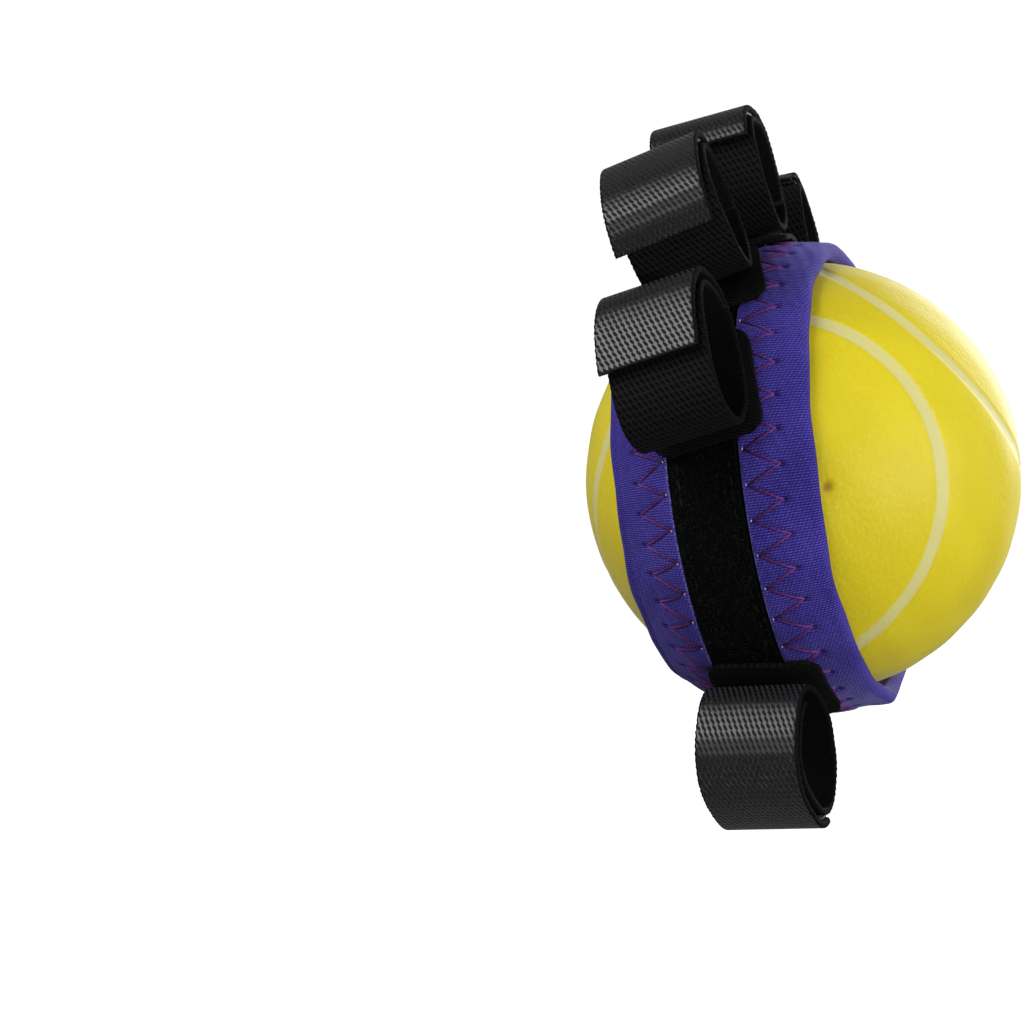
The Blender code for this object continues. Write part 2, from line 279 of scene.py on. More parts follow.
def add_mesh(name, points, faces, materials, face_slots=None, uv=None, values=None):
    """A mesh object with outward faces. uv holds a pair for each face corner, in millimetres,
    and values names a number for each point that its material reads."""
    points = np.asarray(points, float).reshape(-1, 3)
    mesh = bpy.data.meshes.new(name)
    mesh.from_pydata(points.tolist(), [], [list(face) for face in faces])
    for material in materials:
        mesh.materials.append(material)
    if face_slots is not None:
        mesh.polygons.foreach_set("material_index", np.asarray(face_slots, np.int32))
    if uv is not None:
        layer = mesh.uv_layers.new(name="cloth_mm")
        layer.data.foreach_set("uv", np.asarray(uv, np.float32).ravel())
    for key, numbers in (values or {}).items():
        attribute = mesh.attributes.new(key, "FLOAT", "POINT")
        attribute.data.foreach_set("value", np.asarray(numbers, np.float32).ravel())
    if inside_out(mesh):
        mesh.flip_normals()
    mesh.shade_smooth()
    mesh.update()
    thing = bpy.data.objects.new(name, mesh)
    bpy.context.scene.collection.objects.link(thing)
    return thing


def inside_out(mesh):
    mesh.calc_loop_triangles()
    corners = np.empty(len(mesh.loop_triangles) * 3, np.int32)
    mesh.loop_triangles.foreach_get("vertices", corners)
    points = np.empty(len(mesh.vertices) * 3, np.float32)
    mesh.vertices.foreach_get("co", points)
    triangles = points.reshape(-1, 3)[corners].reshape(-1, 3, 3).astype(float)
    return np.linalg.det(triangles).sum() < 0


def ring_quads(count, size, closed=False):
    """The quads between rings of points, and from the last ring to the first one where closed."""
    index = np.arange(count * size).reshape(count, size)
    here, there = (index, np.roll(index, -1, axis=0)) if closed else (index[:-1], index[1:])
    quads = np.stack([here, np.roll(here, -1, axis=1), np.roll(there, -1, axis=1), there], axis=-1)
    return quads.reshape(-1, 4)


def skin(name, rings, materials, closed=False, band_slots=None, u=None, v=None, values=None):
    """A skin over rings of points: rings[i][j] is point j of section i, and a section is closed."""
    count, size = rings.shape[:2]
    faces = ring_quads(count, size, closed).tolist()
    slots = np.tile(np.zeros(size, int) if band_slots is None else band_slots, len(faces) // size)
    uv = None
    if u is not None:
        left, right = np.meshgrid(v[:-1], u[:-1], indexing="ij"), np.meshgrid(v[1:], u[1:], indexing="ij")
        corners = ((left[1], left[0]), (right[1], left[0]), (right[1], right[0]), (left[1], right[0]))
        uv = np.stack([np.stack(corner, axis=-1) for corner in corners], axis=2).reshape(-1, 2)
    if not closed:
        faces += [list(range(size))[::-1], list(range((count - 1) * size, count * size))]
        slots = np.r_[slots, slots[:1], slots[:1]]
        if uv is not None:
            ends = [np.stack([ring, np.zeros(size)], axis=-1) for ring in (u[:-1][::-1], u[:-1])]
            uv = np.concatenate([uv, *ends])
    if values is not None:
        values = {key: np.broadcast_to(numbers, (count, size)) for key, numbers in values.items()}
    return add_mesh(name, rings, faces, materials, slots, uv, values)


def tube_rings(points, radius, sides, closed=False):
    """Round sections along a line of points."""
    points = np.asarray(points, float)
    if closed:
        tangents = np.roll(points, -1, axis=0) - np.roll(points, 1, axis=0)
    else:
        tangents = np.gradient(points, axis=0)
    tangents = unit(tangents)
    outward = unit(points * (0.0, 1.0, 1.0))
    sideways = unit(np.cross(tangents, outward))
    normal = np.cross(sideways, tangents)
    turn = np.linspace(0.0, 2 * math.pi, sides, endpoint=False)
    radius = np.broadcast_to(radius, len(points))[:, None, None]
    spokes = np.cos(turn)[None, :, None] * normal[:, None] + np.sin(turn)[None, :, None] * sideways[:, None]
    return points[:, None] + radius * spokes


def join_parts(name, parts, materials, values):
    """One object from many (points, faces) parts."""
    points, faces, start = [], [], 0
    for part_points, part_faces in parts:
        points.append(part_points)
        faces.append(part_faces + start)
        start += len(part_points)
    faces = [row for block in faces for row in block.tolist()]
    return add_mesh(name, np.concatenate(points), faces, materials, values=values)


def finish_piece(piece, body, slot, *nodes):
    """Attaches a piece to its body and hides the nodes it replaces; slot, its material slot, is not used. A
    blended piece has no one body.
    """
    if body:
        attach(piece, body)
    if nodes:
        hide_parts(*nodes)


# ---------------------------------------------------------------- materials


class Paint:
    """One material, with its node tree written as formulas."""

    def __init__(self, name, roughness, specular=0.5, sheen=0.0, sheen_roughness=0.5, sheen_tint=None):
        self.material = bpy.data.materials.new(name)
        self.material.use_nodes = True
        self.tree = self.material.node_tree
        self.shader = self.tree.nodes["Principled BSDF"]
        self.set("Roughness", roughness)
        self.set("Specular IOR Level", specular)
        self.set("Sheen Weight", sheen)
        self.set("Sheen Roughness", sheen_roughness)
        if sheen_tint:
            self.set("Sheen Tint", (*sheen_tint, 1.0))

    def set(self, socket, value):
        self.feed(self.shader.inputs[socket], value)

    def feed(self, socket, value):
        if isinstance(value, bpy.types.NodeSocket):
            self.tree.links.new(value, socket)
        elif isinstance(value, tuple) and len(value) == 3 and socket.type == "RGBA":
            socket.default_value = (*value, 1.0)
        else:
            socket.default_value = value

    def math(self, operation, *values):
        node = self.tree.nodes.new("ShaderNodeMath")
        node.operation = operation
        for socket, value in zip(node.inputs, values):
            self.feed(socket, value)
        return node.outputs[0]

    def add(self, a, b):
        return self.math("ADD", a, b)

    def times(self, a, b):
        return self.math("MULTIPLY", a, b)

    def between(self, value, low, high):
        """0 below low and 1 above high, smooth between."""
        node = self.tree.nodes.new("ShaderNodeMapRange")
        node.interpolation_type = "SMOOTHSTEP"
        self.feed(node.inputs["Value"], value)
        self.feed(node.inputs["From Min"], low)
        self.feed(node.inputs["From Max"], high)
        return node.outputs["Result"]

    def mix(self, share, a, b):
        node = self.tree.nodes.new("ShaderNodeMix")
        node.data_type = "RGBA"
        self.feed(node.inputs["Factor"], share)
        self.feed([s for s in node.inputs if s.name == "A" and s.type == "RGBA"][0], a)
        self.feed([s for s in node.inputs if s.name == "B" and s.type == "RGBA"][0], b)
        return [s for s in node.outputs if s.type == "RGBA"][0]

    def place(self):
        """The point in the object's own frame, in metres."""
        return self.tree.nodes.new("ShaderNodeTexCoord").outputs["Object"]

    def cloth(self):
        """The across and along of a tape or band, in millimetres."""
        node = self.tree.nodes.new("ShaderNodeUVMap")
        node.uv_map = "cloth_mm"
        split = self.tree.nodes.new("ShaderNodeSeparateXYZ")
        self.feed(split.inputs[0], node.outputs[0])
        return split.outputs[0], split.outputs[1]

    def joined(self, x, y):
        node = self.tree.nodes.new("ShaderNodeCombineXYZ")
        self.feed(node.inputs[0], x)
        self.feed(node.inputs[1], y)
        return node.outputs[0]

    def value(self, name):
        node = self.tree.nodes.new("ShaderNodeAttribute")
        node.attribute_name = name
        return node.outputs["Fac"]

    def noise(self, vector, scale, detail, roughness=0.5):
        node = self.tree.nodes.new("ShaderNodeTexNoise")
        self.feed(node.inputs["Vector"], vector)
        for socket, number in (("Scale", scale), ("Detail", detail), ("Roughness", roughness)):
            node.inputs[socket].default_value = number
        return node.outputs[0]

    def cells(self, vector, scale):
        node = self.tree.nodes.new("ShaderNodeTexVoronoi")
        self.feed(node.inputs["Vector"], vector)
        node.inputs["Scale"].default_value = scale
        return node.outputs["Distance"]

    def bump(self, height, distance, strength):
        """Raises the surface by this height, up to the distance."""
        node = self.tree.nodes.new("ShaderNodeBump")
        node.inputs["Distance"].default_value = distance
        node.inputs["Strength"].default_value = strength
        self.feed(node.inputs["Height"], height)
        self.set("Normal", node.outputs[0])


def wave(paint, value, pitch):
    """A wave from 0 to 1 with this pitch."""
    turn = paint.times(value, 2 * math.pi / pitch)
    return paint.add(paint.times(paint.math("COSINE", turn), 0.5), 0.5)


def foam_material():
    """Moulded yellow foam: a pebbled skin, fine speckle and a paler line along the seam."""
    paint = Paint(
        "ball_foam", 0.5, specular=0.28, sheen=0.22, sheen_roughness=0.35, sheen_tint=(1.0, 1.0, 0.85)
    )
    place = paint.place()
    seam = paint.value("seam")
    gate = paint.value("gate")
    broad = paint.noise(place, 60.0, 2.0)
    speckle = paint.noise(place, 1500.0, 3.0, 0.7)
    colour = paint.mix(paint.between(broad, 0.3, 0.7), (0.80, 0.645, 0.010), (0.86, 0.71, 0.018))
    colour = paint.mix(paint.times(paint.between(speckle, 0.5, 0.75), 0.3), colour, (0.93, 0.85, 0.16))
    pale = paint.add(seam, paint.times(paint.add(speckle, -0.5), 0.5))
    colour = paint.mix(paint.between(pale, 0.25, 0.75), colour, (0.80, 0.73, 0.28))
    colour = paint.mix(gate, colour, (0.30, 0.15, 0.006))
    paint.set("Base Color", colour)
    paint.set("Roughness", paint.add(paint.times(speckle, 0.2), 0.42))
    pebbles = paint.times(paint.cells(place, 1150.0), -1.0)
    grain = paint.add(pebbles, paint.times(paint.noise(place, 2600.0, 2.0), 0.6))
    paint.bump(grain, 0.1 * MM, 0.55)
    paint.set("Subsurface Weight", 0.12)
    paint.shader.inputs["Subsurface Radius"].default_value = (1.0, 0.7, 0.1)
    paint.set("Subsurface Scale", 1.2 * MM)
    return paint.material


def neoprene_material():
    """Purple knit face of neoprene: ribs along the band's axis, each a row of tiny stitches. The ribs are
    painted brighter as highlights and the gaps between them darker as shade, a painted highlight runs along
    the cut edges and painted shade sits in the needle holes.
    """
    paint = Paint(
        "band_knit", 0.8, specular=0.18, sheen=0.25, sheen_roughness=0.45, sheen_tint=(0.55, 0.5, 1.0)
    )
    around, axis = paint.cloth()
    place = paint.place()
    wander = paint.times(paint.add(paint.noise(place, 220.0, 2.0), -0.5), 0.35)
    rib = wave(paint, paint.add(around, wander), RIB_PITCH)
    slant = paint.add(axis, paint.times(around, 0.5))
    stitch = wave(paint, slant, 0.62)
    broken = paint.noise(paint.joined(around, paint.times(axis, 0.6)), 2.6, 2.0, 0.6)
    knit = paint.add(paint.times(rib, 0.55), paint.times(paint.times(rib, stitch), 0.45))
    # painted light: the ribs and their stitches are painted brighter, as highlights, and the gaps between
    # them darker, as shade
    lit = paint.times(knit, paint.add(paint.times(broken, 1.1), 0.15))
    soft = paint.noise(place, 90.0, 3.0)
    dark = paint.mix(paint.between(soft, 0.3, 0.7), (0.021, 0.0135, 0.135), (0.036, 0.024, 0.205))
    bright = paint.mix(paint.between(soft, 0.3, 0.7), (0.11, 0.078, 0.66), (0.155, 0.116, 0.79))
    colour = paint.mix(paint.between(lit, 0.12, 0.85), dark, bright)
    # painted highlight: a paler lilac line along the cut edges beside the strip, broken up in places
    cut_edge_highlight = paint.times(paint.value("cut_edge"), paint.times(paint.between(broken, 0.35, 0.7), 0.75))
    colour = paint.mix(cut_edge_highlight, colour, (0.42, 0.38, 0.80))
    # painted shade: near-black in the needle holes
    colour = paint.mix(paint.value("needle_hole_shade"), colour, (0.006, 0.004, 0.02))
    paint.set("Base Color", colour)
    paint.set("Roughness", paint.add(paint.times(knit, -0.15), 0.88))
    paint.bump(lit, 0.12 * MM, 0.8)
    return paint.material


def thread_material(name, dark, bright):
    """Twisted sewing thread whose colour runs from a painted shade to a painted highlight along a value that
    each piece gives, with painted shadow in the grooves of its twist.
    """
    paint = Paint(name, 0.6, specular=0.25)
    place = paint.place()
    twist = paint.noise(place, 2600.0, 2.0, 0.6)
    painted_thread_light = paint.value("painted_thread_light")
    # painted light and shade: the shaded colour where the value is 0, the lit one where it is 1
    colour = paint.mix(paint.times(painted_thread_light, painted_thread_light), dark, bright)
    # painted shadow in the grooves of the twist
    shadow = tuple(part * 0.4 for part in dark)
    colour = paint.mix(paint.times(paint.between(twist, 0.35, 0.7), 0.5), colour, shadow)
    paint.set("Base Color", colour)
    paint.bump(twist, 0.05 * MM, 0.6)
    return paint.material


def pile_material():
    """Black loop pile: matte, with a matted nap whose raised tufts are painted lighter, as highlights, in
    random patches.
    """
    paint = Paint("strip_pile", 0.95, specular=0.05)
    place = paint.place()
    nap = paint.noise(place, 1400.0, 4.0, 0.75)
    patches = paint.noise(place, 260.0, 2.0)
    # painted highlight: lighter where the nap stands highest, more in some patches
    lit = paint.times(paint.between(nap, 0.45, 0.8), paint.add(paint.times(patches, 0.9), 0.2))
    paint.set("Base Color", paint.mix(lit, (0.0018, 0.0022, 0.0021), (0.0125, 0.0145, 0.014)))
    paint.bump(nap, 0.25 * MM, 0.9)
    return paint.material


def fibre_material():
    """Single filaments, some darker than others."""
    paint = Paint("loose_fibre", 0.6, specular=0.2)
    shade = paint.noise(paint.place(), 600.0, 1.0)
    lit = paint.between(shade, 0.35, 0.7)
    paint.set("Base Color", paint.mix(lit, (0.003, 0.0034, 0.0034), (0.013, 0.0145, 0.0145)))
    return paint.material


def knit_material(name, roughness, gloss, bright):
    """The outer face of the tape: slanting filaments with a grey gloss round leaning slots. The slots are
    painted dark as shade and the filaments painted lighter along their cores as highlights.
    """
    paint = Paint(name, roughness, specular=gloss)
    across, along = paint.cloth()
    flat = paint.joined(across, along)
    pitch_across, pitch_along = KNIT_ACROSS / MM, KNIT_ALONG / MM
    wander = paint.add(paint.noise(flat, 0.5, 2.0), -0.5)
    row = paint.times(paint.add(along, paint.times(wander, 0.7)), 1 / pitch_along)
    sideways = paint.add(across, paint.times(wander, 0.3))
    column = paint.add(paint.times(sideways, 1 / pitch_across), paint.times(row, -0.5))
    from_row = paint.add(paint.math("FRACT", row), -0.5)
    from_column = paint.add(paint.math("FRACT", column), -0.5)
    x = paint.times(paint.add(from_column, paint.times(from_row, 0.5)), pitch_across)
    y = paint.times(from_row, pitch_along)
    lean = math.radians(KNIT_LEAN)
    long_way = paint.add(paint.times(y, math.cos(lean)), paint.times(x, math.sin(lean)))
    short_way = paint.add(paint.times(x, math.cos(lean)), paint.times(y, -math.sin(lean)))
    long_share = paint.times(long_way, 1 / SLOT_HALF_LENGTH)
    short_share = paint.times(short_way, 1 / SLOT_HALF_WIDTH)
    slot = paint.add(paint.times(long_share, long_share), paint.times(short_share, short_share))
    fuzz = paint.noise(flat, 5.0, 3.0, 0.7)
    strand = paint.between(paint.add(slot, paint.times(paint.add(fuzz, -0.5), 0.9)), 0.5, 1.5)
    filament = wave(paint, paint.add(short_way, paint.times(wander, 0.1)), 0.17)
    # painted light: the filaments lighter along their cores as highlights, the slots dark as shade
    shade = paint.times(strand, paint.add(paint.times(filament, 0.5), paint.times(fuzz, 0.7)))
    paint.set("Base Color", paint.mix(shade, (0.001, 0.0012, 0.0011), bright))
    paint.set("Roughness", paint.add(paint.times(strand, roughness - 0.95), 0.95))
    relief = paint.add(strand, paint.times(filament, 0.05))
    paint.bump(relief, 0.2 * MM, 0.9)
    return paint.material


def felt_material():
    """The inner face and the edges of the tape: short black nap, with its knit showing faintly; the raised
    nap and rows are painted lighter, as highlights.
    """
    paint = Paint("tape_nap", 0.92, specular=0.07)
    across, along = paint.cloth()
    flat = paint.joined(across, along)
    nap = paint.noise(flat, 3.2, 4.0, 0.75)
    rows = wave(paint, paint.add(along, paint.times(across, 0.45)), KNIT_ALONG / MM / 2)
    height = paint.add(paint.times(rows, 0.2), nap)
    # painted highlight: lighter where the nap and rows stand highest
    lit = paint.between(height, 0.45, 0.95)
    paint.set("Base Color", paint.mix(lit, (0.0018, 0.0021, 0.002), (0.013, 0.0145, 0.014)))
    paint.bump(height, 0.14 * MM, 0.9)
    return paint.material


def hook_material():
    """Moulded hook tape: a dark ribbed backing, its raised ribs painted lighter as highlights, unevenly in
    patches.
    """
    paint = Paint("hook_tape", 0.6, specular=0.2)
    across, along = paint.cloth()
    rows = paint.times(wave(paint, across, 0.8), wave(paint, along, 0.8))
    # painted highlight on the raised ribs, stronger in some patches than others
    rib_light_patches = paint.noise(paint.joined(across, along), 1.2, 3.0)
    lit = paint.times(rows, rib_light_patches)
    paint.set("Base Color", paint.mix(lit, (0.003, 0.0034, 0.0034), (0.016, 0.017, 0.018)))
    paint.bump(rows, 0.15 * MM, 0.8)
    return paint.material


def floor_material():
    """White floor, which throws back less light than it shows."""
    paint = Paint("studio_floor", 0.9, specular=0.0)
    seen = paint.tree.nodes.new("ShaderNodeLightPath").outputs["Is Camera Ray"]
    paint.set("Base Color", (FLOOR_GREY, FLOOR_GREY, FLOOR_GREY))
    paint.set("Emission Color", (1.0, 1.0, 1.0))
    paint.set("Emission Strength", paint.times(seen, FLOOR_GLOW))
    return paint.material


# ---------------------------------------------------------------- ball


def seam_line():
    """The ball's one closed seam, which winds over it as on a tennis ball, as unit vectors."""
    t = np.linspace(0.0, 2 * math.pi, 900, endpoint=False)
    x = np.cos(t) + SEAM_SWAY * np.cos(3 * t)
    y = np.sin(t) - SEAM_SWAY * np.sin(3 * t)
    line = unit(np.stack([x, y, SEAM_RISE * np.sin(2 * t)], axis=-1))
    turn = Matrix.Identity(3)
    for degrees, axis in SEAM_TURNS:
        turn = turn @ Matrix.Rotation(math.radians(degrees), 3, axis)
    return line @ np.array(turn.transposed())


def nearest(points, line):
    """How far each point is from the line's nearest point."""
    blocks = (block[:, None] - line[None] for block in np.array_split(points, 64))
    return np.concatenate([np.linalg.norm(apart, axis=2).min(axis=1) for apart in blocks])


def add_ball(material):
    """The foam ball, with its seam a shallow channel and the mark where the mould was filled."""
    half = 132
    grid = np.linspace(-1.0, 1.0, half + 1)
    a, b = np.meshgrid(np.tan(grid * math.pi / 4), np.tan(grid * math.pi / 4), indexing="ij")
    one = np.ones_like(a)
    sides = [(one, a, b), (-one, b, a), (b, one, a), (a, -one, b), (a, b, one), (b, a, -one)]
    points = unit(np.concatenate([np.stack(side, axis=-1).reshape(-1, 3) for side in sides]))
    index = np.arange((half + 1) ** 2).reshape(half + 1, half + 1)
    quads = np.stack([index[:-1, :-1], index[1:, :-1], index[1:, 1:], index[:-1, 1:]], axis=-1)
    quads = np.concatenate([quads.reshape(-1, 4) + i * (half + 1) ** 2 for i in range(6)])
    keys = np.round(points * 1e5).astype(int)
    _, first, welded = np.unique(keys, axis=0, return_index=True, return_inverse=True)
    points, quads = points[first], welded.reshape(-1)[quads]

    away = nearest(points, seam_line()) * BALL_RADIUS
    seam = 1 - smooth_step((away - SEAM_WIDTH / 2 + 0.25 * MM) / (0.5 * MM))
    gate_away = np.linalg.norm(points - unit(np.array(GATE_PLACE)), axis=1) * BALL_RADIUS
    gate = hump(gate_away, GATE_RADIUS)
    lumps = 0.04 * MM * (np.sin(points @ (23.0, 9.0, 14.0)) + np.sin(points @ (-11.0, 27.0, 8.0)))
    radius = BALL_RADIUS - SEAM_DEPTH * seam - GATE_DEPTH * gate + lumps
    ball = add_mesh(
        "foam_ball_skin", points * radius[:, None], quads.tolist(), [material],
        values={"seam": seam, "gate": np.clip(gate * 1.1, 0, 1) * 0.85},
    )
    finish_piece(ball, "ball", "foam", "foam_ball")


# ---------------------------------------------------------------- band


def even_outline(corners, step):
    """Points evenly spaced along a closed outline."""
    corners = np.asarray(corners)
    following = np.roll(corners, -1, axis=0)
    out = []
    for start, end in zip(corners, following):
        count = max(1, round(np.linalg.norm(end - start) / step))
        out.append(start + (end - start) * np.linspace(0, 1, count, endpoint=False)[:, None])
    return np.concatenate(out)


def softened(outline, times):
    """The closed outline with its corners rounded off."""
    for _ in range(times):
        outline = (np.roll(outline, 1, axis=0) + 2 * outline + np.roll(outline, -1, axis=0)) / 4
    return outline


def fold_arc(edge, side):
    """The rounded fold at one edge of the band."""
    half = (HEM_THICKNESS - 0.3 * MM) / 2
    x = edge - side * half
    middle = ball_at(x) + 0.3 * MM + half
    turn = np.radians(np.linspace(-90, 90, 15))
    return np.stack([x + side * half * np.cos(turn), middle + half * np.sin(turn)], axis=-1)


def band_outline():
    """(x, radius) of the band's section: the ball's side, the folded edges, the hems and the channel."""
    half = (HEM_THICKNESS - 0.3 * MM) / 2
    palm, finger = BAND_PALM_EDGE + half, BAND_FINGER_EDGE - half
    x_in = np.linspace(palm, finger, 40)[1:-1]
    x_finger = np.linspace(finger, STRIP_FINGER_EDGE, 30)[1:]
    x_palm = np.linspace(STRIP_PALM_EDGE, palm, 30)[:-1]
    x_floor = np.array((STRIP_FINGER_EDGE, STRIP_PALM_EDGE))
    strip_top = np.array((float(hem_at(STRIP_FINGER_EDGE)), float(hem_at(STRIP_PALM_EDGE))))
    floor = np.stack([x_floor, strip_top - STRIP_THICKNESS - 0.3 * MM], axis=-1)
    parts = (
        np.stack([x_in, ball_at(x_in) + 0.3 * MM], axis=-1),
        fold_arc(BAND_FINGER_EDGE, 1),
        np.stack([x_finger, hem_at(x_finger)], axis=-1),
        floor,
        np.stack([x_palm, hem_at(x_palm)], axis=-1),
        fold_arc(BAND_PALM_EDGE, -1)[::-1],
    )
    return softened(even_outline(np.concatenate(parts), 0.25 * MM), 2)


def zigzag_at(angle, edge, side):
    """How far along X the zigzag stands at this angle, and 0 at an inner needle hole to 1 at an outer one."""
    stitch = angle / 360.0 * ZIGZAG_COUNT
    height = 1 - np.abs(2 * np.mod(stitch, 1.0) - 1)
    width = ZIGZAG_WIDTH + ZIGZAG_WOBBLE * np.sin(2.4 * np.floor(stitch) + side)
    return edge + side * (ZIGZAG_INSET + width * height), height


def sewing_marks(x, angle):
    """How deep the sewing pulls the hems in, and how much painted shade darkens the needle holes."""
    depth, dark = np.zeros_like(x), np.zeros_like(x)
    around = np.radians(angle) * (BALL_RADIUS + HEM_THICKNESS)
    pitch = 2 * math.pi * (BALL_RADIUS + HEM_THICKNESS) / ZIGZAG_COUNT
    for edge, side in ((STRIP_PALM_EDGE, -1), (STRIP_FINGER_EDGE, 1)):
        line, _ = zigzag_at(angle, edge, side)
        slope = math.hypot(1.0, ZIGZAG_WIDTH / (pitch / 2))
        depth = depth + 0.20 * MM * hump((x - line) / slope, 0.42 * MM)
        for offset, reach, size in ((0.5, ZIGZAG_WIDTH + 0.25 * MM, 0.50), (0.0, 0.0, 0.40)):
            beside = (np.mod(around / pitch - offset + 0.5, 1.0) - 0.5) * pitch
            away = np.hypot(beside, x - (edge + side * (ZIGZAG_INSET + reach)))
            hole = hump(away, size * MM)
            depth = depth + NEEDLE_HOLE_DEPTH * hole
            # painted shade in the needle holes, deeper in the outer ones
            dark = np.maximum(dark, hump(away, 0.33 * MM) * (1.0 if offset else 0.6))
    return depth, dark


def add_band(material):
    """The neoprene band: folded edges that wander a little, hems pulled in by the sewing."""
    outline = band_outline()
    steps = 880
    angle = np.linspace(0.0, 360.0, steps, endpoint=False)[:, None]
    x, radius = np.broadcast_to(outline[:, 0], (steps, len(outline))), outline[:, 1]
    outer = smooth_step((radius - ball_at(x) - 1.2 * MM) / (1.2 * MM))
    depth, dark = sewing_marks(x, angle)
    on_hem = (x > STRIP_FINGER_EDGE + 0.2 * MM) | (x < STRIP_PALM_EDGE - 0.2 * MM)
    depth, dark = depth * outer * on_hem, dark * outer * on_hem
    turn = np.radians(angle)
    finger_edge = smooth_step((x - BAND_FINGER_EDGE + 5.0 * MM) / (5.0 * MM))
    palm_edge = smooth_step((BAND_PALM_EDGE + 5.0 * MM - x) / (5.0 * MM))
    wander = np.sin(5 * turn + 0.8) + 0.7 * np.sin(9 * turn + 2.1) + 0.5 * np.sin(17 * turn)
    flare = hump(angle - 272.0, 9.0) + 0.5 * hump(angle - 292.0, 7.0)
    shift = 0.16 * MM * wander * (finger_edge + palm_edge) + 0.35 * MM * flare * finger_edge
    lift = 0.10 * MM * np.abs(wander) * (finger_edge + palm_edge) + 0.9 * MM * flare * finger_edge
    dimples = 0.05 * MM * np.sin(x / MM * 1.9 + 7 * turn) * np.sin(31 * turn + x / MM) * outer * on_hem
    rings = on_band(x + shift, angle, radius - depth + lift + dimples)
    lengths = np.r_[0.0, np.cumsum(np.linalg.norm(np.diff(outline, axis=0, append=outline[:1]), axis=1))]
    around = np.linspace(0.0, BAND_RIBS * RIB_PITCH, steps + 1)
    # where the painted highlight along the cut edges beside the strip falls
    near = np.minimum(np.abs(x - STRIP_FINGER_EDGE), np.abs(x - STRIP_PALM_EDGE))
    cut = hump(near, 0.2 * MM) * outer
    band = skin(
        "neoprene_band_knit", rings, [material], closed=True, u=lengths / MM, v=around,
        values={"cut_edge": cut, "needle_hole_shade": dark},
    )
    swap_uv(band)
    finish_piece(band, "band", "neoprene", "neoprene_band")


def swap_uv(thing):
    """Makes the first cloth direction run round the band and the second along its axis."""
    layer = thing.data.uv_layers["cloth_mm"].data
    pairs = np.empty(len(layer) * 2, np.float32)
    layer.foreach_get("uv", pairs)
    layer.foreach_set("uv", pairs.reshape(-1, 2)[:, ::-1].ravel())


def add_zigzag(name, edge, side, material, node):
    """Zigzag sewing: the thread dives into a needle hole at each turn."""
    steps = ZIGZAG_COUNT * 24
    angle = np.linspace(0.0, 360.0, steps, endpoint=False)
    x, share = zigzag_at(angle, edge, side)
    dive = hump(share, 0.09) + hump(1 - share, 0.09)
    bow = 0.06 * MM * np.sin(math.pi * share)
    radius = hem_at(x) - 0.09 * MM + bow - NEEDLE_HOLE_DEPTH * dive
    jitter = 0.05 * MM * np.sin(angle * 3.1) * np.sin(angle * 0.37 + 1.0)
    points = on_band(x + jitter, angle, radius)
    rings = tube_rings(points, THREAD_RADIUS, 8, closed=True)
    # painted light on the thread: shaded at the inner needle holes, lit toward the outer ones
    thread = skin(name, rings, [material], closed=True, values={"painted_thread_light": share[:, None]})
    finish_piece(thread, "band", "zigzag_thread", node)


def add_specks(material):
    """The pale ends of bobbin thread that show at the inner needle holes."""
    parts = []
    for edge, side in ((STRIP_PALM_EDGE, -1), (STRIP_FINGER_EDGE, 1)):
        for i in range(ZIGZAG_COUNT):
            angle = 360.0 * i / ZIGZAG_COUNT + RANDOM.uniform(-0.3, 0.3)
            x = edge + side * (ZIGZAG_INSET - 0.25 * MM)
            span = np.linspace(-0.3, 0.3, 5)
            radius = hem_at(x) - 0.02 * MM - 1.0 * MM * span**2
            points = on_band(x + side * 0.25 * MM * span, angle + span * 0.9, radius)
            radius = 0.11 * MM * np.array((0.3, 0.9, 1.0, 0.9, 0.3))
            parts.append(closed_tube(tube_rings(points, radius, 6)))
    # the specks take the lit thread colour all over
    bright = np.ones(sum(len(points) for points, _ in parts))
    specks = join_parts("bobbin_thread_specks", parts, [material], values={"painted_thread_light": bright})
    finish_piece(specks, "band", "zigzag_thread")


def closed_tube(rings):
    """The points and faces of a tube, with its two ends closed with quads."""
    count, size = rings.shape[:2]
    last = (count - 1) * size
    ends = []
    for i in range(1, size - 2, 2):
        ends.append((0, i + 2, i + 1, i))
        ends.append((last, last + i, last + i + 1, last + i + 2))
    return rings.reshape(-1, 3), np.concatenate([ring_quads(count, size), np.array(ends)])


def add_stitches(name, path, length, material, body, slot_name, node):
    """A row of separate stitches along a closed path, each a short bow of thread between two needle holes."""
    gap, depth, sides = 0.5 * MM, 0.12 * MM, 6
    ring = np.concatenate([path, path[:1]])
    lengths = np.r_[0.0, np.cumsum(np.linalg.norm(np.diff(ring, axis=0), axis=1))]
    count = max(4, round(lengths[-1] / (length + gap)))
    pitch = lengths[-1] / count
    parts, shares = [], []
    for i in range(count):
        share = np.linspace(0.0, 1.0, 9)
        marks = (i + 0.5 * gap / pitch) * pitch + share * (pitch - gap)
        points = np.stack([np.interp(marks % lengths[-1], lengths, ring[:, k]) for k in range(3)], axis=-1)
        dive = hump(share, 0.12) + hump(1 - share, 0.12)
        outward = unit(points * (0.0, 1.0, 1.0))
        rings = tube_rings(points - outward * (depth * dive)[:, None], THREAD_RADIUS * 0.9, sides)
        parts.append(closed_tube(rings))
        # painted light on each stitch: shaded where it dives into its needle holes, lit in the middle
        shares.append(np.repeat(np.sin(math.pi * share), sides))
    row = join_parts(name, parts, [material], values={"painted_thread_light": np.concatenate(shares)})
    finish_piece(row, body, slot_name, node)


